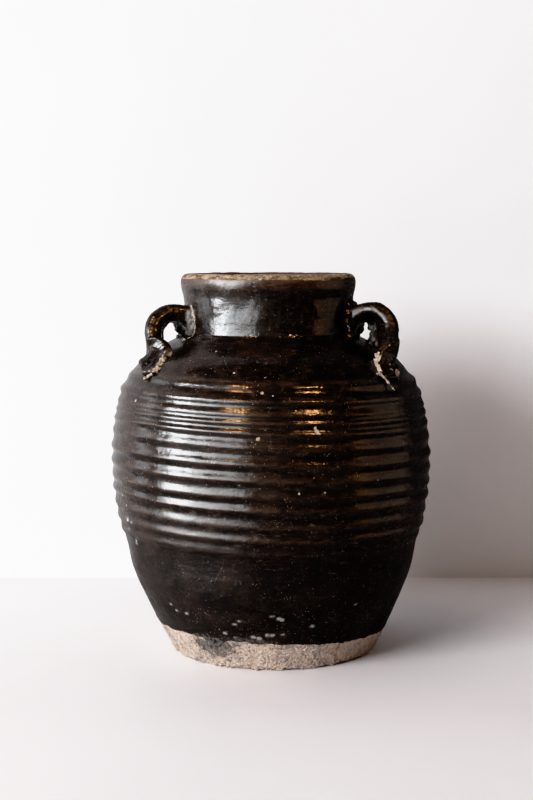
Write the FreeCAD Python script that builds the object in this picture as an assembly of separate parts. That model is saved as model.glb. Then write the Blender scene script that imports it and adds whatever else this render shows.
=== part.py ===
import FreeCAD, Part
import math
import os

# Wheel-thrown storage jar of dark-glazed stoneware: a flat bare foot, a smooth lower wall, a belly
# with finger-drawn ribs, a rounded shoulder, a short upright neck with a rolled lip, and three
# pulled strap lugs between neck and shoulder. Millimetres, +Z up, origin at the centre of the foot.

# ---- driving dimensions -------------------------------------------------------------------------
HEIGHT = 300.0
WALL = 8.0                  # thrown wall thickness
FLOOR = 12.0                # thickness of the floor disc
FLOOR_RADIUS = 73.0         # the disc that the jar was opened from
FOOT_RADIUS = 82.0
NECK_RADIUS = 67.3
LIP_RADIUS = 69.4
LIP_HEIGHT = 13.0
FILLET = 3.0                # soft inside corner between neck and shoulder
MOUTH_ROUNDING = 2.6        # inner edge of the lip

GLAZE_LINE = 20.0           # the foot below this height is bare clay
RIBS_START = 97.0
RIBS_END = 220.0
RIB_COUNT = 12
RIB_DEPTH = 1.0

# Outside of the wall as (radius, height), from the foot to the crease under the neck.
WALL_OUTLINE = [
    (FOOT_RADIUS, 0.0),
    (91.2, 18.0),
    (103.6, 45.0),
    (113.6, 72.0),
    (120.3, 97.0),
    (125.9, 130.0),
    (127.0, 156.0),
    (124.7, 182.0),
    (119.2, 207.0),
    (112.0, 221.5),
    (98.5, 235.0),
    (84.0, 243.8),
    (70.5, 250.8),
]

# One strap lug as stations from the neck to the pressed-down tail:
# (distance from the jar's axis, height, half width, half thickness).
LUG_STATIONS = [
    (62.5, 265.5, 13.5, 9.5),
    (70.0, 268.5, 13.0, 8.0),
    (78.5, 272.3, 12.5, 6.2),
    (88.5, 271.5, 12.0, 5.6),
    (96.0, 264.0, 11.5, 5.6),
    (98.5, 253.5, 11.5, 5.6),
    (99.0, 243.5, 12.0, 5.6),
    (103.5, 235.5, 13.0, 5.2),
    (109.5, 228.0, 13.0, 4.4),
    (115.5, 219.5, 10.5, 3.2),
]

# Lug name to its direction at the neck, its direction at the tail, and the way that the flat of
# the strap faces at the loop, in degrees around +Z from +X. Each lug was put on by eye.
LUG_DIRECTIONS = {
    "lug_left": (195.0, 213.0, 183.0),
    "lug_right": (345.0, 326.0, 347.0),
    "lug_back": (92.0, 87.0, 90.0),
}
TAIL_TWIST_START = 0.5      # share of the strap after which it turns flat on to the shoulder
RING_POINTS = 16            # points around the strap
RING_SQUARENESS = 0.75      # 1 is an ellipse, less is squarer

# Wall sections in the order they were thrown, as name, lower height and upper height.
NECK_START = 254.0
LIP_START = HEIGHT - LIP_HEIGHT
WALL_SECTIONS = [
    ("foot_wall", 0.0, GLAZE_LINE),
    ("lower_wall", GLAZE_LINE, RIBS_START),
    ("ribbed_belly", RIBS_START, RIBS_END),
    ("shoulder", RIBS_END, NECK_START),
    ("neck_collar", NECK_START, LIP_START),
    ("rim_lip", LIP_START, HEIGHT),
]


def point(radius, height):
    """Point of the jar's half section, in the XZ plane."""
    return FreeCAD.Vector(radius, 0.0, height)


def spline(points):
    """Smooth curve through the points."""
    curve = Part.BSplineCurve()
    curve.interpolate(points)
    return curve


def line(start, end):
    return Part.LineSegment(start, end).toShape()


def offset_inward(curve, distance, steps):
    """Points of a half-section curve moved towards the hollow, at right angles to the wall."""
    first, last = curve.FirstParameter, curve.LastParameter
    moved = []
    for step in range(steps + 1):
        place = first + (last - first) * step / steps
        tangent = curve.tangent(place)[0]
        inward = FreeCAD.Vector(-tangent.z, 0.0, tangent.x)
        moved.append(curve.value(place) + inward * distance)
    return moved


def height_on(curve, height):
    """Radius of a half-section curve at a height, by halving its parameter range."""
    low, high = curve.FirstParameter, curve.LastParameter
    for _ in range(40):
        middle = (low + high) / 2.0
        if curve.value(middle).z < height:
            low = middle
        else:
            high = middle
    return curve.value(low).x


def ribbed_points(smooth):
    """Outline points with a crest and a valley for every finger rib."""
    pitch = (RIBS_END - RIBS_START) / RIB_COUNT
    points = [point(radius, height) for radius, height in WALL_OUTLINE if height < RIBS_START]
    for half_turn in range(2 * RIB_COUNT + 1):
        height = RIBS_START + half_turn * pitch / 2.0
        is_crest = half_turn % 2 == 1
        offset = RIB_DEPTH / 2.0 if is_crest else -RIB_DEPTH / 2.0
        points.append(point(height_on(smooth, height) + offset, height))
    points += [point(radius, height) for radius, height in WALL_OUTLINE if height > RIBS_END + 5.0]
    return points


def jar_half_section():
    """Closed half section of the whole thrown jar, with its hollow."""
    smooth = spline([point(radius, height) for radius, height in WALL_OUTLINE])
    outside = spline(ribbed_points(smooth))
    wall_top = point(*WALL_OUTLINE[-1])
    crease = point(NECK_RADIUS, NECK_START + 1.0)
    fillet_middle = point(NECK_RADIUS + FILLET * 0.3, wall_top.z + FILLET * 0.55)

    # The neck is a little waisted, and the lip rolls outwards over it.
    neck_middle = point(NECK_RADIUS - 0.3, (crease.z + LIP_START) / 2.0)
    neck_top = point(NECK_RADIUS + 0.2, LIP_START)
    lip_widest = point(LIP_RADIUS, HEIGHT - 6.5)
    lip_shoulder = point(LIP_RADIUS - 1.6, HEIGHT - 1.4)
    lip_top_outer = point(LIP_RADIUS - 4.2, HEIGHT)
    neck_bore = NECK_RADIUS - WALL
    bore_bottom = point(neck_bore, NECK_START)

    # The inner edge of the lip is a quarter round.
    corner = MOUTH_ROUNDING * (1.0 - math.sqrt(0.5))
    lip_top_inner = point(neck_bore + MOUTH_ROUNDING, HEIGHT)
    lip_inner = point(neck_bore + corner, HEIGHT - corner)
    bore_top = point(neck_bore, HEIGHT - MOUTH_ROUNDING)

    inner = offset_inward(smooth, WALL, 14)
    inner = [place for place in inner if place.x > neck_bore + 4.0 and place.z > FLOOR + 6.0]
    inner_corner = point(FLOOR_RADIUS, FLOOR)

    edges = [
        line(point(0.0, 0.0), point(FOOT_RADIUS, 0.0)),
        outside.toShape(),
        spline([wall_top, fillet_middle, crease]).toShape(),
        spline([crease, neck_middle, neck_top]).toShape(),
        spline([neck_top, lip_widest, lip_shoulder, lip_top_outer]).toShape(),
        line(lip_top_outer, lip_top_inner),
        Part.Arc(lip_top_inner, lip_inner, bore_top).toShape(),
        line(bore_top, bore_bottom),
        spline([inner_corner] + inner + [bore_bottom]).toShape(),
        line(inner_corner, point(0.0, FLOOR)),
        line(point(0.0, FLOOR), point(0.0, 0.0)),
    ]
    return Part.Face(Part.Wire(Part.__sortEdges__(edges)))


def slab(low, high):
    """Flat disc wider than the jar, to take the stretch between two heights out of it."""
    return Part.makeCylinder(2.0 * HEIGHT, high - low, FreeCAD.Vector(0.0, 0.0, low))


def lug_section(centre, along, across, half_width, half_thickness):
    """Points around the strap at one station: a flat oval at right angles to its run."""
    up = across.cross(along)
    ring = []
    for index in range(RING_POINTS + 1):
        turn = 2.0 * math.pi * index / RING_POINTS
        wide = math.copysign(abs(math.cos(turn)) ** RING_SQUARENESS, math.cos(turn))
        thick = math.copysign(abs(math.sin(turn)) ** RING_SQUARENESS, math.sin(turn))
        ring.append(centre + across * (half_width * wide) + up * (half_thickness * thick))
    ring[-1] = ring[0]
    return ring


def level_direction(degrees):
    """Unit vector in the level plane at an angle from +X."""
    return FreeCAD.Vector(math.cos(math.radians(degrees)), math.sin(math.radians(degrees)), 0.0)


def strap_lug(neck_direction, tail_direction, loop_facing):
    """Strap that leaves the neck, loops outwards and is pressed down on the shoulder."""
    last = len(LUG_STATIONS) - 1
    centres = []
    facings = []
    for index, (distance, height, _, _) in enumerate(LUG_STATIONS):
        share = index / last
        direction = level_direction(neck_direction + (tail_direction - neck_direction) * share)
        centres.append(direction * distance + FreeCAD.Vector(0.0, 0.0, height))
        twist = max(0.0, (share - TAIL_TWIST_START) / (1.0 - TAIL_TWIST_START))
        facings.append(loop_facing + (tail_direction - loop_facing) * twist)
    sections = []
    for index, (_, _, half_width, half_thickness) in enumerate(LUG_STATIONS):
        before = centres[max(index - 1, 0)]
        after = centres[min(index + 1, last)]
        along = (after - before).normalize()
        across = level_direction(facings[index] + 90.0)
        across = (across - along * across.dot(along)).normalize()
        sections.append(lug_section(centres[index], along, across, half_width, half_thickness))
    skin = Part.BSplineSurface()
    skin.interpolate(sections)
    side = skin.toShape()
    ends = [Part.Face(Part.Wire(edge)) for edge in side.Edges if edge.isClosed()]
    faces = Part.makeCompound([side] + ends)
    faces.sewShape()
    strap = Part.Solid(faces.Shells[0])
    if strap.Volume < 0.0:
        strap.reverse()
    return strap


def trimmed(strap, jar):
    """Strap cut to the outside of the wall, without what would reach through into the neck."""
    return max(strap.cut(jar).Solids, key=lambda solid: solid.Volume)


def write_step(name, shape):
    shape.exportStep("parts/" + name + ".step")


def main():
    os.makedirs("parts", exist_ok=True)
    axis_point = FreeCAD.Vector(0.0, 0.0, 0.0)
    axis = FreeCAD.Vector(0.0, 0.0, 1.0)
    jar = jar_half_section().revolve(axis_point, axis, 360.0)
    floor_disc = Part.makeCylinder(FLOOR_RADIUS, FLOOR)

    write_step("floor_disc", floor_disc)
    for name, low, high in WALL_SECTIONS:
        section = jar.common(slab(low, high))
        if low < FLOOR:
            section = section.cut(floor_disc)
        write_step(name, section)
    for name, directions in LUG_DIRECTIONS.items():
        write_step(name, trimmed(strap_lug(*directions), jar))


main()
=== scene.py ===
import math

import bpy
import numpy as np
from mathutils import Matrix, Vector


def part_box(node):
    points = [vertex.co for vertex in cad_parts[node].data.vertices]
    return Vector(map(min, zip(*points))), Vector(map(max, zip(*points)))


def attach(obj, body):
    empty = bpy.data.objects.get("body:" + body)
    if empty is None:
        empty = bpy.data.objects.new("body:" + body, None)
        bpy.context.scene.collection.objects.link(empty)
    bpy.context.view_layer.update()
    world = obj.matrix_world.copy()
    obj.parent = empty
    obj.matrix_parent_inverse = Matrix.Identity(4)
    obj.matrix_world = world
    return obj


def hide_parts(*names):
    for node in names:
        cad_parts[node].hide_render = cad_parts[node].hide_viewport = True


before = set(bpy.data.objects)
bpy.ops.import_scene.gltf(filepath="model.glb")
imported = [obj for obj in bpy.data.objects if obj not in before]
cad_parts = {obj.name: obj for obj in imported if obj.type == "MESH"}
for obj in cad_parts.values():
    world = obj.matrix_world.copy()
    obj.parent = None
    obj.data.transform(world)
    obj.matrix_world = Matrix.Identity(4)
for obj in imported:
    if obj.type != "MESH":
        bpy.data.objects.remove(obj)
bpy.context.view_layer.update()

import openvdb
from mathutils import Vector
from mathutils.bvhtree import BVHTree

# A wheel-thrown, dark-glazed storage jar with three strap lugs. Shapes are worked out in
# millimetres in the part's own frame, and scaled to metres as meshes. "turn" is the angle around
# the jar in radians from +X, and the front of the jar faces -Y.
MM = 0.001
FRONT = -math.pi / 2

WALL_NODES = ("foot_wall", "lower_wall", "ribbed_belly", "shoulder", "neck_collar", "rim_lip")


# ---- measuring the frame ----
def node_heights(name):
    """Lowest and highest point of a CAD node, in millimetres."""
    low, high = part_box(name)
    return low.z / MM, high.z / MM


def wall_tree():
    """The wall nodes of the frame as one search tree for measuring rays."""
    points = []
    faces = []
    for name in WALL_NODES:
        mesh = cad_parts[name].data
        start = len(points)
        points.extend(vertex.co.copy() for vertex in mesh.vertices)
        faces.extend([start + index for index in face.vertices] for face in mesh.polygons)
    return BVHTree.FromPolygons(points, faces)


TREE = wall_tree()
RAY_START = 0.4             # metres from the axis, outside the jar
RAY_TURNS = np.linspace(0, math.tau, 12, endpoint=False)


def wall_radius(height, outside=True):
    """Radius of the frame's wall at a height, seen from outside or from the hollow."""
    found = []
    for turn in RAY_TURNS:
        level = Vector((math.cos(turn), math.sin(turn), 0))
        up = Vector((0, 0, height * MM))
        start = level * RAY_START + up if outside else up
        hit = TREE.ray_cast(start, -level if outside else level)[0]
        if hit is not None:
            found.append(math.hypot(hit.x, hit.y) / MM)
    return max(found) if outside else min(found)


class Spline:
    """Natural cubic spline through points (x, y)."""

    def __init__(self, x, y):
        self.x = np.array(x, float)
        self.y = np.array(y, float)
        count = len(self.x)
        step = np.diff(self.x)
        system = np.eye(count)
        right = np.zeros(count)
        for i in range(1, count - 1):
            system[i, i - 1:i + 2] = step[i - 1], 2 * (step[i - 1] + step[i]), step[i]
            right[i] = 6 * ((self.y[i + 1] - self.y[i]) / step[i]
                            - (self.y[i] - self.y[i - 1]) / step[i - 1])
        self.bend = np.linalg.solve(system, right)

    def __call__(self, at):
        at = np.asarray(at, float)
        i = np.clip(np.searchsorted(self.x, at) - 1, 0, len(self.x) - 2)
        step = self.x[i + 1] - self.x[i]
        a = (self.x[i + 1] - at) / step
        b = (at - self.x[i]) / step
        curve = (a**3 - a) * self.bend[i] + (b**3 - b) * self.bend[i + 1]
        return a * self.y[i] + b * self.y[i + 1] + curve * step**2 / 6


# ---- noise ----
def noise_at(points, size, seed):
    """Smooth noise from -1 to 1 with features about size across. The same on every run."""
    scaled = points / size
    cell = np.floor(scaled).astype(np.int64)
    part = scaled - cell
    part = part**3 * (part * (part * 6 - 15) + 10)
    total = np.zeros(points.shape[:-1])
    for corner in np.ndindex(2, 2, 2):
        key = cell + np.array(corner)
        code = key[..., 0] * 73856093 ^ key[..., 1] * 19349663 ^ key[..., 2] * 83492791
        code = (code ^ (seed * 40503)) & 0x7FFFFFFF
        code = (code ^ (code >> 13)) * 1274126177 & 0x7FFFFFFF
        code = (code ^ (code >> 16)) & 0xFFFF
        weight = np.prod(np.where(np.array(corner) == 1, part, 1 - part), axis=-1)
        total += weight * (code / 32767.5 - 1)
    return total


def rise(value, start, end):
    """0 before start, 1 after end, and smooth between them."""
    share = np.clip((value - start) / (end - start), 0, 1)
    return share * share * (3 - 2 * share)


def bell(value, middle, width):
    """1 at the middle, falling smoothly to 0 on both sides."""
    return np.exp(-(((value - middle) / width) ** 2))


def from_front(turn):
    """Turn from the jar's front, from -pi at the left to pi."""
    return (turn - FRONT + math.pi) % math.tau - math.pi


# ---- the half section of the wall, from the frame ----
FOOT_TOP = node_heights("foot_wall")[1]
RIBS_LOW, RIBS_HIGH = node_heights("ribbed_belly")
NECK_LOW, NECK_HIGH = node_heights("neck_collar")
JAR_TOP = node_heights("rim_lip")[1]
FLOOR_TOP = node_heights("floor_disc")[1]
FLOOR_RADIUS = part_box("floor_disc")[1].x / MM
RIB_PITCH = 10.25
OUTLINE_STEP = 0.25
CREASE = NECK_LOW - 4       # up to here the outline is a smooth curve without the ribs


def body_curve():
    """Radius of the outside wall under its ribs, from foot to crease."""
    heights = np.concatenate([
        np.linspace(0.6, RIBS_LOW - 6, 9),
        np.linspace(RIBS_LOW + 6, RIBS_HIGH - 6, 11),
        np.linspace(RIBS_HIGH + 2, CREASE, 6),
    ])
    radii = []
    for height in heights:
        ribbed = RIBS_LOW < height < RIBS_HIGH
        spread = np.linspace(-0.5, 0.5, 9)[:-1] * RIB_PITCH if ribbed else (0,)
        radii.append(np.mean([wall_radius(height + offset) for offset in spread]))
    return Spline(heights, radii)


def outside_outline():
    """Dense (radius, height) line up the outside, over the lip and down into the neck."""
    body = body_curve()
    rising = np.arange(CREASE, JAR_TOP - 0.2, OUTLINE_STEP * 2)
    edges = [wall_radius(JAR_TOP - 0.1, outside) for outside in (True, False)]
    falling = np.arange(JAR_TOP - 0.4, NECK_HIGH - 0.01, -OUTLINE_STEP * 2)
    line = [(float(body(h)), h) for h in np.arange(0, CREASE, OUTLINE_STEP)]
    line += [(wall_radius(h), h) for h in rising]
    line += [(radius, JAR_TOP) for radius in np.linspace(*edges, 9)]
    line += [(wall_radius(h, outside=False), h) for h in (*falling, NECK_HIGH)]
    return np.array(line)


class Outline:
    """A half-section line with its arc length and its outward normals."""

    def __init__(self, line, blur=0.8):
        length = np.concatenate([[0], np.cumsum(np.hypot(*np.diff(line, axis=0).T))])
        self.length = np.arange(0, length[-1], OUTLINE_STEP)
        self.radius, self.height = (
            self.softened(np.interp(self.length, length, values), blur) for values in line.T
        )
        slope = np.gradient([self.radius, self.height], axis=1)
        slope = slope / np.hypot(*slope)
        self.normal_radius, self.normal_height = slope[1], -slope[0]

    @staticmethod
    def softened(values, blur):
        """Values smoothed over a short stretch, with both ends held."""
        reach = int(3 * blur / OUTLINE_STEP)
        kernel = np.exp(-0.5 * (np.arange(-reach, reach + 1) * OUTLINE_STEP / blur) ** 2)
        first = 2 * values[0] - values[reach:0:-1]
        last = 2 * values[-1] - values[-2:-reach - 2:-1]
        padded = np.concatenate([first, values, last])
        return np.convolve(padded, kernel / kernel.sum(), mode="valid")

    def at(self, arc):
        """Radius, height and the normal's two parts at a distance along the line."""
        lines = (self.radius, self.height, self.normal_radius, self.normal_height)
        return [np.interp(arc, self.length, line) for line in lines]

    def arc_at_height(self, height):
        """Distance along the rising part of the line at which it reaches a height."""
        top = int(np.argmax(self.height))
        return float(np.interp(height, self.height[:top], self.length[:top]))


OUTSIDE = Outline(outside_outline())


# ---- handwork: how the jar differs from a perfect lathe shape ----
def lean(height):
    """How far the soft clay has leaned towards -X at a height."""
    share = (height - JAR_TOP / 2) / (JAR_TOP / 2)
    return 1.2 * share + 1.4 * share**3


def roundness(turn):
    """Radius at a turn as a share of a true circle's."""
    return 1 + 0.0030 * np.cos(2 * (turn - 0.7)) + 0.0016 * np.cos(3 * (turn + 0.5))


def settled(turn, radius, height):
    """Place of a wall point once the soft clay has leaned and gone a little out of round."""
    radius = radius * roundness(turn)
    x = radius * np.cos(turn) - lean(height)
    return np.stack([x, radius * np.sin(turn), height + 0 * turn], axis=-1)


# Heights of the finger ribs' crests at the front, from the lowest to the highest.
RIB_CRESTS = (97.5, 108.4, 118.3, 130.9, 141, 152.4, 164.1, 177, 187.2, 194.6, 200.3,
              209.9, 221.2)
RIB_SLOPE = 0.38            # steepest lean of a rib's flank, as rise over run


def rib_lift(turn, height):
    """How far the finger ribs stand out, and how near a point is to a crest, from 0 to 1."""
    side = from_front(turn)
    tilt = (2 - 0.9 * rise(height, 185, 215)) * np.sin(side)
    tilted = height + tilt + 0.25 * np.sin(3 * side + height * 0.07)
    tilted = tilted + 4 * bell(side, -1.65, 0.45)
    order = np.interp(
        tilted,
        (RIB_CRESTS[0] - 12,) + RIB_CRESTS + (RIB_CRESTS[-1] + 12,),
        np.arange(-1, len(RIB_CRESTS) + 1),
    )
    pitch = np.interp(tilted, RIB_CRESTS, np.gradient(np.array(RIB_CRESTS)))
    phase = math.tau * (order + side / math.tau)
    depth = RIB_SLOPE * pitch / math.tau
    depth = depth * (1 + 0.25 * np.sin(order * 2.3 + 1))
    ends = rise(tilted, RIB_CRESTS[0] - 9, RIB_CRESTS[0] + 3)
    ends = ends * (0.7 + 0.3 * rise(tilted, RIB_CRESTS[0], RIB_CRESTS[1]))
    ends = ends * (1 - rise(tilted, RIB_CRESTS[-1] + 1, RIB_CRESTS[-1] + 8))
    wave = np.cos(phase) + 0.09 * np.cos(2 * phase + 0.9)
    crest = ends * (0.5 + 0.5 * np.cos(phase - 0.5))
    return ends * depth * wave, crest


def throwing_lines(height, points):
    """Shallow level grooves that the fingers leave all over a thrown wall."""
    flat = np.stack([points[..., 0] * 0.06, points[..., 1] * 0.06, height], axis=-1)
    calm = 1 - 0.75 * rise(height, NECK_LOW - 2, NECK_LOW + 6)
    return calm * (0.062 * noise_at(flat, 3.3, 11) + 0.040 * noise_at(flat, 1.7, 12))


def glaze_line(turn, points):
    """Height at which the glaze ends, all around the foot, with one dribble at the front left."""
    side = from_front(turn)
    line = 21.6 + 1.6 * np.cos(side) - 3.8 * np.sin(side) + 0.8 * np.cos(2 * side)
    line = line + 0.9 * noise_at(points, 11, 21) + 0.55 * noise_at(points, 3, 22)
    dribble = bell(side, -0.50, 0.07)
    return line - 8 * dribble


# Marks on the glaze: degrees around from the front (left is negative), height, and size in
# millimetres. Pits go down to the clay.
PITS = (
    (-14.7, 229, 0.9), (-2.1, 226.2, 0.7), (-3.1, 216, 1.3), (0.8, 214, 0.9), (-4.3, 183.7, 1.5),
    (4.7, 240.5, 0.7), (13.5, 200.3, 0.9), (15.5, 188.2, 1.9), (15, 191, 1.2), (9, 144, 1),
    (17.7, 143.9, 0.9), (-58, 205, 1.1), (-65.9, 130.2, 1.3), (-62.1, 123.6, 1),
    (-62.9, 111.5, 1.6), (-60.7, 96.3, 1.3), (-28, 243, 0.8), (38, 150, 0.8), (-20, 166, 0.8),
    (140, 188, 1.6), (118, 132, 1.1), (-128, 160, 1.3), (176, 206, 1), (-150, 110, 1.5),
)
# Flakes lost along the crease, wider than they are high.
FLAKES = (
    (-12.7, 254.8, 1), (-15.2, 254.2, 0.7), (13.4, 254.8, 1.3), (17.4, 254.8, 1),
    (20.1, 254, 0.8), (7.5, 253.6, 0.6), (96, 253.5, 1.2), (-140, 254, 1.4), (160, 254, 1),
)
# Whitish lime that dried on the lower glaze.
LIME = (
    (-9.1, 30.2, 1.6), (-6.2, 29.6, 1.8), (-2.8, 32.4, 1.5), (-0.4, 32.2, 1.3),
    (-16.3, 40.7, 1.2), (-14.3, 43.6, 1.3), (-0.4, 48.8, 1.2), (2.4, 46.6, 1.6), (3.6, 45.4, 1.1),
    (16.7, 38.9, 1.4), (-21.8, 31.9, 1.1), (-44.4, 45.2, 1.1), (-39, 44.6, 1.2), (-47, 49.6, 0.9),
    (-63, 113, 1.6), (-59.5, 111, 1.3), (-61, 94, 1.5), (-66, 96.5, 1.2), (-57, 100, 1),
    (-64, 104, 1.2), (-68, 118, 1.1), (35.5, 53.2, 0.9), (-17, 29, 0.9), (4, 33, 0.8),
    (100, 40, 1.5), (132, 34, 1.8), (-112, 38, 1.6), (-160, 46, 1.4),
)
# The old scar under the lip.
SCAR = ((-8.9, 292.4, 1.5), (-8.6, 289, 1.5), (-8.2, 285.6, 1.2))


def spot_distance(points, spots, flatness=1):
    """Largest of (size - distance) over the spots: above 0 inside one, in millimetres."""
    nearest = np.full(points.shape[:-1], -9.0)
    for degrees, height, size in spots:
        turn = FRONT + math.radians(degrees)
        radius, level = OUTSIDE.at(OUTSIDE.arc_at_height(height))[:2]
        away = points - settled(turn, radius, level)
        away = away * np.array((1, 1, flatness))
        nearest = np.maximum(nearest, size - np.sqrt((away**2).sum(axis=-1)))
    return nearest


def wall_surface(arc, turn):
    """Finished outside surface at arc lengths (rows) and turns (columns), with its wear masks."""
    radius, height, normal_radius, normal_height = (line[:, None] for line in OUTSIDE.at(arc))
    turn = turn[None, :]
    height = height + 0 * turn
    plain = settled(turn, radius, height)
    ribs, crest = rib_lift(turn, height)
    lift = ribs + throwing_lines(height, plain)
    lift = lift + 0.22 * noise_at(plain, 34, 31) + 0.13 * noise_at(plain, 9, 32)
    on_neck = rise(height, NECK_LOW, NECK_LOW + 8)
    tall = plain * np.array((1, 1, 0.45))
    dents = 0.34 * noise_at(plain, 11, 33) + 0.13 * noise_at(tall, 4.2, 34)
    lift = lift + on_neck * dents

    line = glaze_line(turn, plain)
    over_line = height - line
    glazed = rise(over_line, -0.2, 0.9)
    beads = rise(over_line, -0.3, 0.6) * (1 - rise(over_line, 0.8, 4.5))
    lift = lift + 0.40 * glazed + 0.28 * beads
    grit = 0.42 * noise_at(plain, 1.8, 41) + 0.40 * noise_at(plain, 3.6, 42)
    ragged = 1 + 1.6 * (1 - rise(height, 0, 4))
    lift = lift + (1 - glazed) * grit * ragged * (height < FOOT_TOP * 2)

    pits = spot_distance(plain, PITS)
    flakes = spot_distance(plain, FLAKES, 1.8)
    side = from_front(turn)
    lime = spot_distance(plain, LIME, 1.4) * 1.2 + 0.7
    hazy = bell(side, -0.17, 0.32) * (1 - rise(over_line, 2, 10)) * glazed
    lime = np.maximum(lime, 2.2 * hazy - 2.6)
    scar = spot_distance(plain, SCAR)
    lift = lift - 0.25 * rise(pits, -0.4, 0.6) - 0.40 * rise(flakes, -0.8, 0.8)
    lift = lift + 0.12 * rise(lime, -0.4, 0.6) - 0.15 * rise(scar, -0.8, 0.8)

    # Wear on the lip: strongest on its outer top edge, and patchy. The bare band also narrows
    # towards the right, which leaves that side of the lip darker.
    arc_row = arc[:, None] + 0 * turn
    lip_arc = OUTSIDE.arc_at_height(JAR_TOP - 3.6)
    streaky = plain * np.array((0.3, 0.3, 1))
    patchy = 0.9 * noise_at(plain, 15, 51) + 1.2 * noise_at(streaky, 1.6, 52)
    worn = np.minimum(arc_row - lip_arc, lip_arc + 8 - arc_row) + patchy
    worn = worn - 0.7 * rise(side, 0.3, 1.3)
    lift = lift - 0.15 * rise(worn, -0.3, 0.7)
    # A finger smoothed the corner where the lip meets the neck.
    lift = lift + 0.75 * bell(height, JAR_TOP - 13.2, 3.2) * (arc_row < lip_arc)

    bare = np.maximum(np.maximum(-over_line, worn), np.maximum(pits, flakes) * 1.3)
    under_lip = rise(height, JAR_TOP - 16, JAR_TOP - 4)
    thin = np.maximum(0.50 * crest, 0.70 * under_lip)
    thin = np.maximum(thin, 0.8 * rise(scar, -0.6, 0.6))
    thin = np.maximum(thin, 0.12 * bell(height, 234, 9))
    wash = 1.1 - np.hypot((side + 0.53) / 0.21, (height - 18) / 10)

    out = radius + lift * normal_radius
    up = height + lift * normal_height
    bottom_gap = (1 - rise(arc_row, 0, 3)) * 0.5 * (1 + noise_at(plain, 4, 43))
    up = np.maximum(up + bottom_gap, 0)
    masks = {"bare": bare, "thin": thin, "wash": wash, "lime": lime}
    return settled(turn, out, up), masks


def grid_normals(points):
    """Outward normals of a grid that closes on itself along its columns."""
    around = np.roll(points, -1, axis=1) - np.roll(points, 1, axis=1)
    along = np.gradient(points, axis=0)
    normal = np.cross(around, along)
    return normal / np.linalg.norm(normal, axis=-1, keepdims=True)


# ---- meshes ----
def ring_faces(rows, columns):
    """Quads between rings of vertices, and from the last ring back to the first."""
    row, column = np.indices((rows, columns))
    above, beside = (row + 1) % rows * columns, (column + 1) % columns
    row = row * columns
    corners = [row + column, row + beside, above + beside, above + column]
    return np.stack(corners, axis=-1).reshape(-1, 4)


def added(name, data):
    """New object in the scene."""
    made = bpy.data.objects.new(name, data)
    bpy.context.scene.collection.objects.link(made)
    return made


def new_mesh(name, points, faces):
    """Object from points in millimetres and quads or triangles."""
    mesh = bpy.data.meshes.new(name)
    mesh.vertices.add(len(points))
    mesh.vertices.foreach_set("co", (points * MM).astype(np.float32).ravel())
    corners = faces.shape[1]
    mesh.loops.add(faces.size)
    mesh.loops.foreach_set("vertex_index", faces.astype(np.int32).ravel())
    mesh.polygons.add(len(faces))
    mesh.polygons.foreach_set("loop_start", np.arange(0, faces.size, corners, dtype=np.int32))
    mesh.update(calc_edges=True)
    mesh.validate()
    return added(name, mesh)


# The wear masks that the materials read: above 0 inside a mark, about in millimetres, but a share
# for "thin". The numbers are those of a plain, hidden surface.
HIDDEN = {"bare": -5, "thin": 0.35, "wash": -1, "lime": -9}


def add_masks(made, masks, **hidden):
    """Stores the masks, one number per vertex. Vertices past a mask's end get its hidden value."""
    for name, plain in {**HIDDEN, **hidden}.items():
        values = np.full(len(made.data.vertices), plain, np.float32)
        given = np.ravel(masks.get(name, ()))
        values[:len(given)] = given
        made.data.attributes.new(name, "FLOAT", "POINT").data.foreach_set("value", values)


def finish_piece(made, node, material):
    """Gives a piece its material, hangs it under the root body and hides the CAD node that it
    stands for.
    """
    made.data.materials.append(material)
    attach(made, "root")
    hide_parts(node)


def hollow_surface(name, turn):
    """The hollow's wall beside a CAD node, from the top down, with soft throwing rings."""
    low, high = node_heights(name)
    heights = np.linspace(high, low, max(4, int((high - low) / 5)) + 1)
    if name == "rim_lip":
        heights = heights[heights <= high - 4]
    radii = [wall_radius(height, outside=False) if height > FLOOR_TOP + 0.3 else FLOOR_RADIUS
             for height in heights]
    heights = heights[:, None] + 0 * turn
    radius = np.array(radii)[:, None] + 0.35 * np.sin(heights * 0.55 + turn)
    return settled(turn[None, :], radius, heights)


def smooth_piece(made, faces, point_normals, runs):
    """Smooth shading: each point's own normal over runs of faces, and flat faces elsewhere."""
    flat = np.zeros(len(faces) * 3, np.float32)
    made.data.polygons.foreach_get("normal", flat)
    corners = np.repeat(flat.reshape(-1, 1, 3), faces.shape[1], axis=1)
    for first, last in runs:
        corners[first:last] = point_normals.reshape(-1, 3)[faces[first:last]]
    made.data.polygons.foreach_set("use_smooth", np.ones(len(faces), bool))
    made.data.normals_split_custom_set(corners.reshape(-1, 3).tolist())


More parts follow.
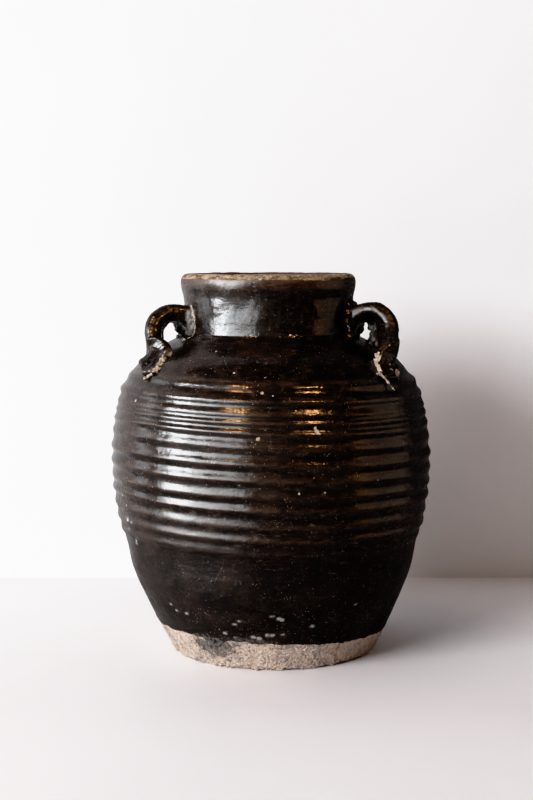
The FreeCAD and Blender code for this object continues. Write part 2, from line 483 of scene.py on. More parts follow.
def wall_piece(name, low_arc, high_arc, step, columns, material):
    """One thrown section of the wall as a closed ring: outside, upper seam, hollow, lower seam."""
    turn = np.linspace(0, math.tau, columns, endpoint=False)
    count = int(round((high_arc - low_arc) / step))
    arc = np.linspace(low_arc, high_arc, count + 1)
    spacing = arc[1] - arc[0]
    wider = np.concatenate([[arc[0] - spacing], arc, [arc[-1] + spacing]])
    outer, masks = wall_surface(wider, turn)
    outer_normals = grid_normals(outer)[1:-1]
    outer = outer[1:-1]

    hollow = hollow_surface(name, turn)
    seam = np.zeros((0, columns, 3))
    if name == "foot_wall":
        seam = settled(turn, np.full(columns, OUTSIDE.radius[0] - 3.0), np.zeros(columns))[None]
    rings = np.concatenate([outer, hollow, seam])
    faces = ring_faces(len(rings), columns)
    made = new_mesh(name, rings.reshape(-1, 3), faces)

    shape = (len(wider), columns)
    masks = {key: np.broadcast_to(values, shape)[1:-1] for key, values in masks.items()}
    add_masks(made, masks, bare=2.5 if name == "foot_wall" else HIDDEN["bare"])
    hollow_normals = -grid_normals(hollow[::-1])[::-1]
    smooth_piece(made, faces, np.concatenate([outer_normals, hollow_normals, 0 * seam]), [
        (0, count * columns),
        ((count + 1) * columns, (count + len(hollow)) * columns),
    ])
    finish_piece(made, name, material)


def floor_disc(material):
    """The disc that the jar was opened from: glazed inside, bare underneath."""
    turn = np.linspace(0, math.tau, 240, endpoint=False)
    steps = np.linspace(1, FLOOR_RADIUS - 2, 30)
    under = [(r, 0.4 * rise(r, FLOOR_RADIUS - 16, 20)) for r in steps]
    side = [(FLOOR_RADIUS - 0.3, 0.6), (FLOOR_RADIUS, 2), (FLOOR_RADIUS, FLOOR_TOP - 0.5)]
    over = [(r, FLOOR_TOP + 0.25 * math.sin(r * 0.55)) for r in steps[::-1]]
    section = np.array(under + side + over)
    radius, height = (section[:, [i]] + 0 * turn for i in (0, 1))
    rings = settled(turn[None, :], radius, height)
    faces = ring_faces(len(section), len(turn))
    made = new_mesh("floor_disc", rings.reshape(-1, 3), faces)
    add_masks(made, {"bare": np.where(height < FLOOR_TOP - 1, 2.5, HIDDEN["bare"])})
    made.data.polygons.foreach_set("use_smooth", np.ones(len(faces), bool))
    finish_piece(made, "floor_disc", material)


# ---- materials ----
class Shader:
    """Small helper that adds nodes to one node tree and wires them up."""

    def __init__(self, owner, output="OutputMaterial"):
        owner.use_nodes = True
        self.tree = owner.node_tree
        self.tree.nodes.clear()
        self.result = self.tree.nodes.new("ShaderNode" + output).inputs["Surface"]
        self.place = self.node("TexCoord", {}, "Object")

    def put(self, socket, value):
        """Wires an output to a socket, or sets the socket's value."""
        if isinstance(value, bpy.types.NodeSocket):
            self.tree.links.new(value, socket)
        else:
            socket.default_value = value

    def node(self, kind, inputs, output=0, **settings):
        """One of the outputs of a new node, with its settings and inputs given."""
        made = self.tree.nodes.new("ShaderNode" + kind)
        for name, value in settings.items():
            setattr(made, name, value)
        for name, value in inputs.items():
            self.put(made.inputs[name], value)
        return made.outputs[output]

    def math(self, kind, *values):
        return self.node("Math", dict(enumerate(values)), operation=kind)

    def times(self, *values):
        """First value times the second, plus the third if there is one."""
        return self.math("MULTIPLY" if len(values) == 2 else "MULTIPLY_ADD", *values)

    def axis(self, name, vector):
        """One component, X, Y or Z, of a vector."""
        return self.node("SeparateXYZ", {0: vector}, name)

    def scaled(self, x, y, z):
        """Object coordinates in metres, stretched along each axis."""
        return self.node("Mapping", {"Vector": self.place, "Scale": (x, y, z)})

    def noise(self, size, detail=3, roughness=0.55, distortion=0, place=None, seed=0):
        """Noise from 0 to 1 with features about size across, in millimetres."""
        return self.node("TexNoise", {
            "W": seed, "Vector": place or self.place, "Scale": 1 / (size * MM),
            "Detail": detail, "Roughness": roughness, "Distortion": distortion,
        }, "Fac", noise_dimensions="4D")

    def cells(self, size, place=None):
        """Distance to scattered points, in cell sizes."""
        return self.node("TexVoronoi", {"Vector": place or self.place,
                                        "Scale": 1 / (size * MM)}, "Distance")

    def span(self, value, low, high, out_low=0, out_high=1, kind="SMOOTHSTEP"):
        """value between low and high brought smoothly to out_low and out_high."""
        return self.node("MapRange", {
            "Value": value, "From Min": low, "From Max": high,
            "To Min": out_low, "To Max": out_high,
        }, "Result", interpolation_type=kind)

    def ragged(self, mask, depth, *noise, seed=0):
        """Mask with its edge broken up by noise, up to depth millimetres either way."""
        grain = self.noise(*noise, seed=seed)
        return self.math("ADD", mask, self.times(grain, 2 * depth, -depth))

    def layers(self, colour, *over):
        """Colour with others laid over it, each given as its share and its colour."""
        for share, other in over:
            mixed = {6: colour, 7: other}
            mixed = {slot: (*c, 1) if isinstance(c, tuple) else c for slot, c in mixed.items()}
            colour = self.node("Mix", {0: share, **mixed}, 2, data_type="RGBA")
        return colour

    def bump(self, height, distance, normal=None):
        """Surface relief; height 1 stands distance millimetres above height 0."""
        under = {} if normal is None else {"Normal": normal}
        return self.node("Bump", {"Height": height, "Distance": distance * MM, **under})


# Colours as linear light.
THICK_GLAZE = (0.0115, 0.0092, 0.0078)
BROWN_GLAZE = (0.030, 0.0215, 0.0165)
THIN_GLAZE = (0.088, 0.058, 0.041)
IRON_SPECK = (0.18, 0.112, 0.065)
GOLD_SPECK = (0.55, 0.38, 0.19)
FOOT_CLAY = (0.60, 0.485, 0.40)
FOOT_CLAY_DARK = (0.34, 0.235, 0.165)
FOOT_CLAY_GREY = (0.33, 0.30, 0.26)
# Painted shade for the crevices between the clay's grains; pale grit with a painted highlight for
# the grain tops.
CREVICE_SHADE = (0.085, 0.056, 0.038)
PALE_GRIT_AND_HIGHLIGHT = (0.80, 0.70, 0.60)
LIP_BROWN = (0.080, 0.046, 0.029)
LIP_CLAY = (0.45, 0.33, 0.215)
LIP_CLAY_DARK = (0.13, 0.070, 0.036)
CHIP_CLAY = (0.66, 0.56, 0.44)
DUST = (0.36, 0.33, 0.29)
SCRATCH = (0.22, 0.19, 0.165)
WASH_GREY = (0.125, 0.115, 0.105)
LIME_WHITE = (0.29, 0.275, 0.25)
# Heights in metres at which bare clay turns from the foot's to a chip's and then to the lip's.
CHIPS_FROM = (0.030, 0.040)
LIP_FROM = (0.2895, 0.2925)
# Heights of zones in the glaze: full ribs, the rubbed belly, the open shoulder, neck, lip.
RIBS_FROM = (0.070, 0.115)
RUBBED_TO = (0.116, 0.144)
SHOULDER_FROM, SHOULDER_TO = (0.222, 0.232), (0.250, 0.256)
NECK_FROM, NECK_TO = (0.256, 0.262), (0.283, 0.290)
BROWN_FROM = (0.293, 0.309)


def jar_material(name, dullness=0):
    """Dark iron glaze over sandy clay. The masks on the mesh say where the clay is bare."""
    made = bpy.data.materials.new(name)
    m = Shader(made)
    bare, thin, wash, lime = (
        m.node("Attribute", {}, "Fac", attribute_name=mask) for mask in HIDDEN
    )
    height = m.axis("Z", m.place)
    level = m.scaled(0.35, 0.35, 1)

    # Where the clay and the dried lime show.
    clay_share = m.span(m.ragged(bare, 1.1, 1.3, 4, 0.65), -0.12, 0.30)
    lime_share = m.span(m.ragged(lime, 3.5, 2.3, 5, 0.75, seed=2), -0.1, 0.9, 0, 0.80)
    film = m.times(m.span(lime, -1.5, -0.5), m.span(m.noise(3.4, 5, 0.7, seed=4), 0.36, 0.64))
    lime_share = m.math("MAXIMUM", lime_share, m.times(film, 0.30))

    # Glaze colour: black where it is thick, brown where it thinned over a crest or at the lip.
    fine = m.noise(2.2, 4, 0.6, seed=3)
    streaks = m.noise(3, 4, 0.65, place=level, seed=5)
    thinness = m.times(thin, m.span(streaks, 0.32, 0.66, 0.25, 1.25))
    patchy = m.noise(3.4, 5, 0.72, place=level, seed=7)
    ribbed = m.span(height, *RIBS_FROM, 0.30, 1)
    near_lip = m.span(m.times(streaks, 0.016, height), *BROWN_FROM)
    iron = m.span(m.cells(1.9), 0.14, 0.30, 1, 0)
    iron = m.times(iron, m.span(m.noise(6, 3, seed=9), 0.46, 0.66))

    # Specks of grit and dust all over, more of them low down and on slopes that face up.
    flat_top = m.span(m.axis("Z", m.node("NewGeometry", {}, "Normal")), 0.15, 0.95)
    crowd = m.math("ADD", m.noise(8, 3, seed=12), m.span(height, 0.02, 0.09, 0.10, 0))
    speck = m.times(m.span(m.cells(2.6), 0.10, 0.17, 1, 0), m.span(crowd, 0.50, 0.60))
    gold = m.span(m.cells(4.3, m.scaled(1, 1, 1.3)), 0.045, 0.080, 1, 0)
    gold = m.times(gold, m.span(m.noise(10, 2, seed=13), 0.42, 0.55))
    film = m.times(flat_top, m.span(m.noise(12, 5, 0.65, seed=14), 0.40, 0.75))
    dusty = m.times(film, 0.018, m.times(speck, 0.60))

    # Hair-fine scratches in patches.
    lines = (m.noise(24, 0, 0.3, 0.25, place=m.scaled(1, 0.8, 0.5), seed=21),
             m.noise(21, 0, 0.3, 0.2, place=m.scaled(0.5, 0.6, 1.3), seed=22))
    hair = m.math("MINIMUM", *(m.math("ABSOLUTE", m.math("SUBTRACT", line, 0.5)) for line in lines))
    hair = m.span(hair, 0.0006, 0.0024, 1, 0)
    hair = m.times(hair, m.span(m.noise(16, 4, 0.7, seed=23), 0.53, 0.63))

    glaze = m.layers(
        THICK_GLAZE,
        (m.span(m.noise(26, 3, 0.5, 0.4), 0.42, 0.72), BROWN_GLAZE),
        (m.span(thinness, 0.05, 0.95), THIN_GLAZE),
        (m.times(ribbed, m.span(patchy, 0.44, 0.62, 0, 0.75)), BROWN_GLAZE),
        (m.times(ribbed, m.span(patchy, 0.54, 0.70, 0, 0.55)), THIN_GLAZE),
        (m.span(fine, 0.30, 0.48, 0.55, 0), THICK_GLAZE),
        (m.times(near_lip, 0.80), LIP_BROWN),
        (m.times(iron, 0.55), IRON_SPECK),
        (m.math("MINIMUM", dusty, 1), DUST),
        (m.times(gold, 0.6), GOLD_SPECK),
        (m.times(hair, 0.30), SCRATCH),
        (lime_share, LIME_WHITE),
    )

    # Bare clay: pale and sandy at the foot, browner and handled at the lip. The grain noise that
    # raises the sand also paints shade into the crevices between grains, and pale grit with a
    # painted highlight on the grain tops.
    grains = m.noise(1.9, 4, 0.74, seed=31)
    handled = m.noise(2.6, 5, 0.65, place=level, seed=37)
    clay = m.layers(
        FOOT_CLAY,
        (m.span(m.noise(13, 3, 0.55, seed=33), 0.44, 0.72), FOOT_CLAY_GREY),
        (m.span(m.noise(9, 4, 0.65, seed=35), 0.48, 0.78), FOOT_CLAY_DARK),
        (m.span(height, *CHIPS_FROM),
         m.layers(CHIP_CLAY, (m.span(m.noise(2.2, 3, seed=39), 0.35, 0.75), LIP_CLAY))),
        (m.span(height, *LIP_FROM),
         m.layers(LIP_CLAY, (m.span(handled, 0.42, 0.62), LIP_CLAY_DARK))),
        # Painted shade in the grain crevices, and a painted highlight on the grain tops.
        (m.span(grains, 0.36, 0.49, 0.62, 0), CREVICE_SHADE),
        (m.span(grains, 0.54, 0.64, 0, 0.65), PALE_GRIT_AND_HIGHLIGHT),
    )

    # The dull grey wash at one place on the foot, over glaze and clay alike.
    wash_share = m.span(m.ragged(wash, 2.6, 4.5, 6, 0.75, seed=43), -0.05, 0.45)
    runs = m.noise(3, 4, 0.7, place=m.scaled(1, 1, 0.4), seed=44)
    grey = m.layers(THICK_GLAZE, (m.span(runs, 0.40, 0.55), WASH_GREY))
    colour = m.layers(glaze, (clay_share, clay), (m.times(wash_share, 0.80), grey))

    # Gloss: glassy, with duller smears, dust and worn places.
    smear = m.span(m.noise(15, 6, 0.7, 0.6, seed=41), 0.44, 0.70, 0, 0.12)
    gloss = m.times(m.span(fine, 0.48, 0.72), 0.10, smear)
    gloss = m.times(m.span(patchy, 0.52, 0.66), 0.14, gloss)
    gloss = m.math("ADD", gloss, m.times(m.math("ADD", dusty, hair), 0.5))
    collar = m.times(m.span(height, *NECK_FROM), m.span(height, *NECK_TO, 1, 0))
    smudge = m.noise(6.5, 4, 0.65, 0.5, place=m.scaled(1, 1, 0.5), seed=46)
    gloss = m.times(m.times(collar, m.span(smudge, 0.42, 0.62)), 0.20, gloss)
    gloss = m.math("ADD", gloss, m.span(height, 0.100, 0.155, 0.11 + dullness, 0.04 + dullness))
    rubbed = m.times(m.span(height, *RUBBED_TO, 1, 0),
                     m.span(m.axis("X", m.place), -0.03, 0.02, 1, 0))
    gloss = m.times(rubbed, 0.17, gloss)
    for share, dull in ((near_lip, 0.52), (lime_share, 0.75), (wash_share, 0.60),
                        (clay_share, 0.90)):
        gloss = m.node("Mix", {0: share, 2: gloss, 3: dull})

    # Relief: rippled glaze with pinholes, coarse sand in the clay.
    not_clay = m.math("SUBTRACT", 1, clay_share)
    relief = None
    for height_map, depth in (
        (m.noise(9, 2, 0.4, seed=50), 0.17),
        (m.noise(4.2, 4, 0.6, place=m.scaled(0.4, 0.4, 1), seed=52), 0.17),
        (m.noise(3.2, 3, 0.5, seed=51), 0.185),
        (m.noise(1.6, 3, 0.65, seed=53), 0.125),
        (m.math("SUBTRACT", 1, hair), 0.02),
        (m.span(m.cells(5.5), 0.040, 0.075), 0.10),
        (m.times(grains, clay_share), 3),
        (not_clay, 0.22),
    ):
        relief = m.bump(height_map, depth, relief)

    # A broad, faint shine over the sharp one: the haze of old, handled glaze.
    shoulder = m.times(m.span(height, *SHOULDER_FROM), m.span(height, *SHOULDER_TO, 1, 0))
    haze = m.times(shoulder, -0.09, m.span(height, 0.252, 0.258, 0.16, 0.23))
    m.put(m.result, m.node("BsdfPrincipled", {
        "Base Color": colour, "Roughness": gloss, "Normal": relief, "IOR": 1.41,
        "Coat Weight": m.times(haze, not_clay), "Coat Roughness": 0.42, "Coat IOR": 1.4,
    }))
    return made


# ---- stage, lights and camera ----
def stage_face(name, corners, material):
    """One flat face of the set."""
    made = new_mesh(name, np.array(corners), np.array([[0, 1, 2, 3]]))
    made.data.materials.append(material)


WALL_BEHIND = 221.5         # from the jar's axis to the wall
WALL_REACH, WALL_TOP = 1500, 1600
FLOOR_REACH = 1700
AIM = Vector((0, 0, 0.15))  # middle of the jar, in metres


def panel(name, left, up, wide, tall, distance, radiance, colour, lights):
    """Rectangular lamp that faces the jar, and either lights the scene or only shows in the glaze.
    Its place is in degrees to the left of the jar's front and degrees up, its distance in metres,
    and its size in degrees as seen from the jar."""
    data = bpy.data.lights.new(name, "AREA")
    data.shape = "RECTANGLE"
    data.size = 2 * distance * math.tan(math.radians(wide / 2))
    data.size_y = 2 * distance * math.tan(math.radians(tall / 2))
    data.color = colour
    data.energy = radiance * data.size * data.size_y * math.pi
    made = added(name, data)
    turn, rising = FRONT - math.radians(left), math.radians(up)
    level = math.cos(rising)
    way = Vector((level * math.cos(turn), level * math.sin(turn), math.sin(rising)))
    made.location = AIM + distance * way
    made.rotation_euler = (-way).to_track_quat("-Z", "Y").to_euler()
    made.visible_camera = False
    made.visible_diffuse = lights
    made.visible_glossy = not lights


def stage_paint(name, colour, roughness, grain, left_share, right_share):
    """Plain pale paint with a faint tone and tooth. Jar reflections see it only in part, less on
    the right where the room is dark. It has no back and throws no shadow, so that the jar can be
    looked at from behind."""
    made = bpy.data.materials.new(name)
    m = Shader(made)
    darker = tuple(value * 0.965 for value in colour)
    paint = m.node("BsdfPrincipled", {
        "Base Color": m.layers(colour, (m.span(m.noise(180, 4, 0.5), 0.35, 0.7), darker)),
        "Roughness": roughness,
        "Normal": m.bump(m.noise(grain), 0.08),
    })
    hidden = m.span(m.axis("X", m.place), -0.20, 0.15, 1 - left_share, 1 - right_share, "LINEAR")
    gone = m.times(hidden, m.node("LightPath", {}, "Is Glossy Ray"))
    gone = m.math("MAXIMUM", gone, m.node("NewGeometry", {}, "Backfacing"))
    gone = m.math("MAXIMUM", gone, m.node("LightPath", {}, "Is Shadow Ray"))
    through = m.node("BsdfTransparent", {})
    m.put(m.result, m.node("MixShader", {0: gone, 1: paint, 2: through}))
    return made


def build_stage():
    floor_paint = stage_paint("pale_floor", (0.885, 0.862, 0.864), 0.45, 2, 0.40, 0.28)
    wall_paint = stage_paint("pale_wall", (0.875, 0.86, 0.86), 0.9, 1.5, 0.55, 0.15)
    corners = ((-1, -1), (1, -1), (1, 1), (-1, 1))
    stage_face("floor", [(x * FLOOR_REACH, y * FLOOR_REACH, 0) for x, y in corners], floor_paint)
    stage_face("wall", [(x * WALL_REACH, WALL_BEHIND, max(z, 0) * WALL_TOP) for x, z in corners],
               wall_paint)


def build_lights():
    key = (0.94, 0.95, 1)
    sky = (1, 0.86, 0.78)
    cool = (0.93, 0.965, 1)
    warm = (1, 0.53, 0.21)
    brown = (1, 0.60, 0.27)
    dusk = (1, 0.82, 0.68)
    # name, left, up, wide, tall, distance, radiance, colour
    panels = (
        ("key", 47, 19, 30, 23, 3.5, 17.4, key),
        ("sky", 62, 56, 40, 40, 3.5, 1.75, sky),
        ("window_side", 96, 13, 14, 33, 0.9, 2.6, cool),
        ("window_near", 67, 13, 20, 33, 1.8, 27, cool),
        ("window_mid", 48, 13, 17, 33, 1.8, 14, cool),
        ("window_far", 29, 13, 18, 33, 1.8, 8.5, cool),
        ("lamp_left", 28, 42, 5, 6, 1.8, 85, warm),
        ("lamp_right", -35, 42, 7.5, 6, 1.8, 75, warm),
        ("room_front", 4, 13, 30, 33, 1.8, 0.55, dusk),
        ("doorway", -66, 12, 8, 30, 1.8, 1.9, brown),
        ("room_right", -90, 10, 42, 38, 1.8, 0.90, dusk),
    )
    for row in panels:
        panel(*row, lights=row[0] in ("key", "sky"))
    world = bpy.data.worlds.new("room")
    bpy.context.scene.world = world
    m = Shader(world, "OutputWorld")
    dim = m.node("Background", {"Color": (1, 0.74, 0.60, 1), "Strength": 0.035})
    # Seen directly, above the floor's far edge, the room is as pale as the wall.
    pale = m.node("Background", {"Color": (0.84, 0.83, 0.83, 1)})
    seen = m.node("LightPath", {}, "Is Camera Ray")
    m.put(m.result, m.node("MixShader", {0: seen, 1: dim, 2: pale}))
    world.cycles_visibility.glossy = False


# The camera that fits the ellipses of the photo's rim, ribs and foot.
CAMERA_PLACE = (-0.0036, -1.1039, 0.3159)
CAMERA_DOWN = 6.06          # degrees below level
LENS, SENSOR = 62, 36       # millimetres


def build_camera():
    data = bpy.data.cameras.new("camera")
    data.sensor_width = SENSOR
    data.lens = LENS
    made = added("camera", data)
    made.location = CAMERA_PLACE
    made.rotation_euler = (math.radians(90 - CAMERA_DOWN), 0, 0)
    bpy.context.scene.camera = made


# ---- lugs ----
# Each lug is a field of distances to the clay's skin, in millimetres, which is then skinned. A
# strap is a run of stations: centre x, y, z, half width, half thickness, the way its flat faces in
# degrees from +X, and its roll in degrees. Beads of clay, chips, dry glaze and grime are lines: a
# thickness and then the points. The dimple is the thumb's: its place along the strap, and depth.
LUG_VOXEL = 0.55
LUG_BLOCK = 4               # voxels along a block of the first, coarse look
LUG_MARGIN = 21             # room around the strap's centre line
LUGS_FROM, LUGS_TO = 206, 284
FIELD_REACH = 5.0           # distances are cut off beyond this
LUGS = {
    "lug_left": dict(
        strap=(
            (-61, -16.5, 262, 14.5, 9, 195, 0), (-68, -19, 266.5, 13.5, 7.5, 190, -8),
            (-76.5, -23, 269.2, 12.5, 6, 184, -13), (-84.6, -27.5, 266.4, 12, 6.3, 179, -13),
            (-90, -32, 259.5, 11.5, 6.8, 176, -6), (-90.6, -36.5, 250.5, 11.5, 6.7, 178, 0),
            (-90.2, -41, 243.6, 11.8, 6, 188, 0), (-89, -47.5, 238.6, 14.2, 4.6, 222, 0),
            (-89.2, -54, 232.4, 12.8, 4.2, 231, 0), (-92.2, -60, 226.2, 8, 3, 228, 0),
        ),
        beads=(
            (3.4, (-61.4, -25.6, 273), (-59.8, -29.2, 266), (-59.2, -30.6, 257.5)),
            (1.6, (-60.6, -30.6, 252.6), (-67, -30, 250)),
            (1.5, (-63.6, -30.4, 271), (-63, -31.2, 269.4)),
            (1.3, (-63, -31.8, 266.4), (-62, -33, 265)),
            (1.7, (-62.8, -32.6, 262.4), (-62.6, -32.2, 260.6)),
            (1.2, (-61.6, -33.4, 258.2), (-62.6, -32.4, 256.6)),
            (5.4, (-73.5, -6, 265), (-72.5, -6, 257)),
            (3.6, (-70.5, -4, 254), (-69.5, -5, 250)),
            (1.3, (-83, -62.5, 231.2), (-90, -66, 225.4), (-95.6, -64, 222)),
        ),
        chips=(
            (3, (-75.4, -56.6, 242), (-81.4, -62.4, 235.8), (-87.6, -66.4, 230.4)),
            (1.5, (-92.8, -67, 225), (-95.4, -65.6, 223.4)),
        ),
        dry=(
            (1, (-62, -30.4, 275.4), (-59.6, -34.6, 267), (-58.4, -36.6, 257),
             (-59.9, -34.4, 251.4), (-66, -34, 249.4), (-73, -32.6, 247.2)),
            (1.2, (-63.8, -28, 272), (-62.6, -32, 265), (-62, -33, 256)),
        ),
        grimy=((4, (-64, -28, 273), (-62.8, -32, 265), (-62.2, -33, 256)),),
        dimple=(0.8, 1.3),
    ),
    "lug_right": dict(
        strap=(
            (61, -16.5, 262, 14.5, 9, 345, 0), (67.5, -19, 267.6, 13.5, 7.2, 349, 8),
            (76.5, -23, 270.8, 12.5, 5.2, 354, 16), (84.6, -28, 268.6, 12, 5.9, 362, 16),
            (89.6, -33, 260.5, 11.5, 6.2, 371, 8), (90.6, -39, 250.5, 11.5, 6.2, 374, 0),
            (91.4, -45, 242.5, 12.8, 6.4, 360, 0), (88.6, -53.5, 235.8, 13.2, 5.6, 334, 0),
            (87.8, -60.5, 229.2, 12, 4.6, 313, 0), (90.2, -66, 222.4, 7.6, 2.8, 306, 0),
        ),
        beads=(
            (1.7, (62.5, -23.5, 277.6), (60.5, -29.5, 270), (59.5, -31.5, 262), (62, -31, 254)),
            (1.2, (64.5, -18.5, 276.4), (66.6, -12, 276.4)),
            (4.2, (70, -3, 264), (69.5, -4, 258)),
            (4.6, (79.5, -15, 266), (81.5, -17, 257), (82, -20, 247.5)),
            (1.4, (76, -69.5, 230.5), (82.5, -73, 225), (88, -75, 219.5)),
            (0.7, (88, -75, 219.5), (92, -76, 214.5)),
        ),
        chips=(
            (4.6, (78, -63.4, 237.2), (75.4, -67.4, 234), (77.4, -71, 230)),
            (1.3, (91.2, -65, 232.4), (93.6, -65.4, 229.8)),
            (1.6, (95.6, -63.4, 226.6), (97.4, -62.8, 223.2)),
        ),
        dry=(
            (0.35, (60.4, -31.6, 272), (58.8, -34, 262), (61.5, -33, 255)),
            (0.45, (83, -40.6, 273.4), (86.4, -43, 265), (90, -45, 263.4)),
            (1.4, (79, -71, 230), (84.4, -73.8, 225), (88.6, -75.2, 220)),
            (0.2, (88.6, -75.2, 220), (92.4, -76, 214.4)),
        ),
        grimy=((7, (79.5, -15, 266), (81.5, -17, 257), (82, -20, 247.5)),),
        dimple=(0.84, 0.9),
    ),
    "lug_back": dict(
        strap=(
            (-2.5, 62.5, 263, 14.5, 9, 92, 0), (-2.6, 70, 268, 13.5, 7.4, 92, -4),
            (-2.4, 78.5, 271.2, 12.5, 6, 91, -6), (-1, 88, 269.4, 12, 5.6, 90, -6),
            (0.5, 95, 261.8, 11.5, 5.8, 90, -4), (1.8, 97.6, 252.4, 11.5, 5.6, 90, 0),
            (2.8, 98.6, 243.8, 12, 5.2, 89, 0), (4, 102, 236.4, 13.5, 4.8, 88, 0),
            (5.2, 107.2, 229, 12.5, 4, 87, 0), (6.2, 113.4, 220.8, 8, 2.6, 87, 0),
        ),
        beads=(
            (1.6, (-18, 64.8, 274), (-19.5, 66, 264), (-16.5, 70.5, 253)),
            (1.6, (13.5, 65.5, 274.5), (15.5, 66.5, 263), (13, 71.5, 253)),
            (1.5, (-6.5, 109, 226.5), (0, 114.2, 219.6), (8, 116, 216.6)),
        ),
        chips=(
            (2.6, (17, 103.6, 236.6), (17, 108.8, 230), (13.6, 113.6, 223.6)),
            (1.5, (-9, 103.4, 240), (-8.8, 107.4, 234.6)),
        ),
        dry=((0.9, (-19.2, 66, 272), (-20.6, 67.4, 263.6), (-18, 71.5, 254)),),
        grimy=(),
        dimple=(0.82, 1.1),
    ),
}


def unsettled(points):
    """Distance from the jar's own axis and height of points, with lean and roundness undone."""
    x, y, height = np.moveaxis(points, -1, 0)
    x = x + lean(height)
    return np.hypot(x, y) / roundness(np.arctan2(y, x)), height


class WallDistance:
    """Distance out of the jar's wall, looked up in a fine table of the upper half section."""

    step = 0.5
    radii = np.arange(48, 132, step)
    heights = np.arange(200, 296, step)

    def __init__(self):
        line = np.array([OUTSIDE.radius, OUTSIDE.height])[:, :int(np.argmax(OUTSIDE.height))]
        radius, height = line[:, line[1] > self.heights[0] - 20][:, ::2]
        table = []
        for level in self.heights:
            away = np.hypot(self.radii[:, None] - radius, level - height).min(axis=1)
            table.append(np.where(self.radii < np.interp(level, height, radius), -away, away))
        self.table = np.array(table)

    def place(self, values, axis):
        """Whole and part steps along one side of the table."""
        steps = np.clip((values - axis[0]) / self.step, 0, len(axis) - 1.001)
        whole = steps.astype(int)
        return whole, steps - whole

    def __call__(self, points):
        radius, height = unsettled(points)
        (c, across), (r, up) = self.place(radius, self.radii), self.place(height, self.heights)
        low = self.table[r, c] * (1 - across) + self.table[r, c + 1] * across
        high = self.table[r + 1, c] * (1 - across) + self.table[r + 1, c + 1] * across
        return low * (1 - up) + high * up


WALL_DISTANCE = WallDistance()


def blended(first, second, reach):
    """Smooth union of two distance fields."""
    share = np.clip(0.5 + 0.5 * (second - first) / reach, 0, 1)
    return second + (first - second) * share - reach * share * (1 - share)


def line_distance(points, lines, swelling=1):
    """Distance to the nearest of some lines, each given as its thickness and its points."""
    nearest = np.full(points.shape[:-1], 99.0)
    for size, *corners in lines:
        corners = np.array(corners)
        for start, run in zip(corners, np.diff(corners, axis=0)):
            share = np.clip(((points - start) @ run) / (run @ run), 0, 1)
            away = points - start - share[..., None] * run
            distance = np.sqrt((away**2).sum(axis=-1))
            nearest = np.minimum(nearest, distance - size * swelling)
    return nearest


class Strap:
    """A strap's centre line with its frame, widths and thicknesses at many steps."""

    per_station = 5

    def __init__(self, stations):
        stations = np.array(stations)
        index = np.arange(len(stations))
        fine = np.linspace(0, len(stations) - 1, (len(stations) - 1) * self.per_station + 1)
        columns = np.stack([Spline(index, stations[:, i])(fine) for i in range(7)], axis=-1)
        self.centre = columns[:, :3]
        self.half_width = columns[:, 3]
        self.half_thickness = columns[:, 4]
        along = np.gradient(self.centre, axis=0)
        self.spacing = np.linalg.norm(along, axis=-1)
        self.along = along / self.spacing[:, None]
        facing = np.radians(columns[:, 5] + 90)
        across = np.stack([np.cos(facing), np.sin(facing), 0 * facing], axis=-1)
        across = across - self.along * (across * self.along).sum(axis=-1, keepdims=True)
        across = across / np.linalg.norm(across, axis=-1, keepdims=True)
        up = np.cross(across, self.along)
        roll = np.radians(columns[:, 6:7])
        self.across = across * np.cos(roll) + up * np.sin(roll)
        self.up = up * np.cos(roll) - across * np.sin(roll)

    def nearest(self, points):
        """Place along the strap, and place across, through and past its ends, of points."""
        best = np.full(points.shape[:-1], 1e9)
        index = np.zeros(points.shape[:-1], int)
        for step, centre in enumerate(self.centre):
            away = ((points - centre) ** 2).sum(axis=-1)
            closer = away < best
            best[closer] = away[closer]
            index[closer] = step
        last = len(self.centre) - 1
        shift = ((points - self.centre[index]) * self.along[index]).sum(axis=-1)
        shift = shift / self.spacing[index]
        place = np.clip(index + np.clip(shift, -1, 1), 0, last)
        past = np.where((index == last) & (shift > 0), shift * self.spacing[-1], 0)
        past = np.where((index == 0) & (shift < 0), -shift * self.spacing[0], past)
        low = np.minimum(place.astype(int), last - 1)
        share = place - low

        def mixed(values):
            weight = share[..., None] if values.ndim == 2 else share
            return values[low] * (1 - weight) + values[low + 1] * weight

        away = points - mixed(self.centre)
        x = (away * mixed(self.across)).sum(axis=-1)
        y = (away * mixed(self.up)).sum(axis=-1)
        return place / last, x, y, past, mixed(self.half_width), mixed(self.half_thickness)


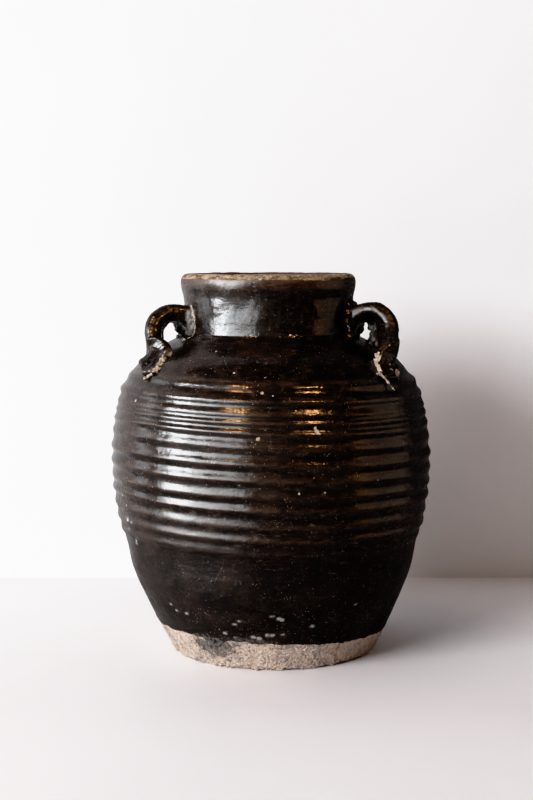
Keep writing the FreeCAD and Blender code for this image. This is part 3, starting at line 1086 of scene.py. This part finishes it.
def lug_field(points, lug, strap, seed):
    """Distance to the skin of a lug, with its wear masks."""
    along, x, y, past, half_width, half_thickness = strap.nearest(points)
    wall = WALL_DISTANCE(points)
    lumps = noise_at(points, 6.5, seed)
    fine = noise_at(points, 2.2, seed + 1)

    # A flat oval strap with a shallow finger groove down its outer face.
    middle = 1 - np.clip(x / half_width, -1, 1) ** 2
    pressed_at, pressed_by = lug["dimple"]
    groove = middle * (0.6 * rise(along, 0.15, 0.4)
                       + pressed_by * bell(along, pressed_at, 0.075))
    corner = 0.86 * (half_thickness - 0.3)
    over_x = np.abs(x) - (half_width - corner)
    over_y = np.abs(y) + np.where(y > 0, groove, 0) - (half_thickness - corner)
    outside = np.sqrt(np.maximum(over_x, 0) ** 2 + np.maximum(over_y, 0) ** 2 + past**2)
    skin = outside + np.minimum(np.maximum(over_x, over_y), 0) - corner
    tail = rise(along, 0.62, 0.80)
    skin = skin + lumps * (0.36 + 0.22 * tail) + fine * (0.14 + 0.16 * tail)

    bead = line_distance(points, lug["beads"], 1 + 0.35 * lumps + 0.35 * fine)
    skin = blended(skin, bead, 1.6)

    # Pressed on to the wall: a soft fillet at the neck, a crisper joint under the tail.
    reach = 6.5 - 5 * tail
    joined = blended(skin, wall + 0.35, reach)
    joined = np.maximum(joined, -(wall + 2.4))
    joined = np.maximum(joined, skin - 5.5)

    grain = noise_at(points, 1.3, seed + 2)
    broken = line_distance(points, lug["chips"]) + 0.80 * grain + 1.10 * fine
    joined = np.maximum(joined, -broken)

    dry = fine + 0.7 * grain - line_distance(points, lug["dry"])
    ridge = rise(np.abs(x) / half_width, 0.62, 0.98) * (1 - rise(along, 0.60, 0.80))
    thin = 0.12 + 0.10 * ridge + 0.22 * fine + 0.25 * (1 - rise(bead, 0, 1.2))
    return joined, {
        "bare": np.maximum(0.75 - broken, dry),
        "thin": np.clip(thin, 0, 1),
        "wash": 2.5 * fine - line_distance(points, lug["grimy"]),
    }


def lattice(low, counts, spacing):
    """Evenly spaced points that fill a box."""
    return low + np.moveaxis(np.indices(counts), 0, -1) * spacing


def build_lug(name, seed, material):
    """One strap lug, pressed on to the neck and the shoulder."""
    lug = LUGS[name]
    strap = Strap(lug["strap"])
    low = strap.centre.min(axis=0) - LUG_MARGIN
    high = strap.centre.max(axis=0) + LUG_MARGIN
    low[2] = max(low[2], LUGS_FROM)
    high[2] = min(high[2], LUGS_TO)
    # A coarse look first, so that only places near the skin are worked out finely.
    blocks = np.ceil((high - low) / (LUG_VOXEL * LUG_BLOCK)).astype(int)
    coarse = lug_field(lattice(low, blocks, LUG_VOXEL * LUG_BLOCK), lug, strap, seed)[0]
    values = coarse.repeat(LUG_BLOCK, 0).repeat(LUG_BLOCK, 1).repeat(LUG_BLOCK, 2)
    near = np.abs(values) < LUG_VOXEL * LUG_BLOCK * 2.3
    fine_points = lattice(low, blocks * LUG_BLOCK, LUG_VOXEL)[near]
    values[near] = lug_field(fine_points, lug, strap, seed)[0]
    grid = openvdb.FloatGrid(FIELD_REACH)
    grid.copyFromArray(np.clip(values, -FIELD_REACH, FIELD_REACH).astype(np.float32))
    points, quads = grid.convertToQuads(isovalue=0)
    points = points.astype(float) * LUG_VOXEL + low
    made = new_mesh(name, points, np.asarray(quads)[:, ::-1].astype(np.int64))
    add_masks(made, lug_field(points, lug, strap, seed)[1])
    made.data.polygons.foreach_set("use_smooth", np.ones(len(quads), bool))
    finish_piece(made, name, material)


# ---- the jar ----
def build_walls():
    paint = {slot: jar_material(slot) for slot in ("dark_glaze", "bare_clay", "worn_lip")}
    # piece, top of its outside, row spacing, columns, slot
    sections = (
        ("foot_wall", FOOT_TOP, 0.5, 1200, "bare_clay"),
        ("lower_wall", RIBS_LOW, 0.95, 600, "dark_glaze"),
        ("ribbed_belly", RIBS_HIGH, 0.95, 600, "dark_glaze"),
        ("shoulder", NECK_LOW, 0.7, 600, "dark_glaze"),
        ("neck_collar", NECK_HIGH, 0.6, 600, "dark_glaze"),
        ("rim_lip", None, 0.4, 900, "worn_lip"),
    )
    start = 0
    for name, top, step, columns, slot in sections:
        end = OUTSIDE.arc_at_height(top) if top else OUTSIDE.length[-1]
        wall_piece(name, start, end, step, columns, paint[slot])
        start = end
    floor_disc(paint["bare_clay"])


# Tone of the picture: deep blacks and a soft shoulder under white, as scene light to shown light.
TONE_WHITE = 1.5
TONE_POINTS = ((0.026, 0.0045), (0.05, 0.021), (0.10, 0.075), (0.20, 0.19), (0.30, 0.31),
               (0.50, 0.57), (0.80, 0.865), (1.10, 0.962))

build_walls()
LUG_GLAZE = jar_material("dark_glaze_lugs", dullness=0.08)
for seed, name in enumerate(LUGS):
    build_lug(name, 60 + 10 * seed, LUG_GLAZE)
build_stage()
build_lights()
build_camera()

scene = bpy.context.scene
scene.view_settings.view_transform = "Standard"
scene.view_settings.look = "None"
tone = scene.view_settings.curve_mapping
tone.white_level = (TONE_WHITE,) * 3
tone.use_clip = False
for level, shown in TONE_POINTS:
    tone.curves[3].points.new(level / TONE_WHITE, shown)
tone.curves[3].points[0].location = (0, 0)
tone.curves[3].points[-1].location = (1, 0.99)
tone.update()
scene.view_settings.use_curve_mapping = True
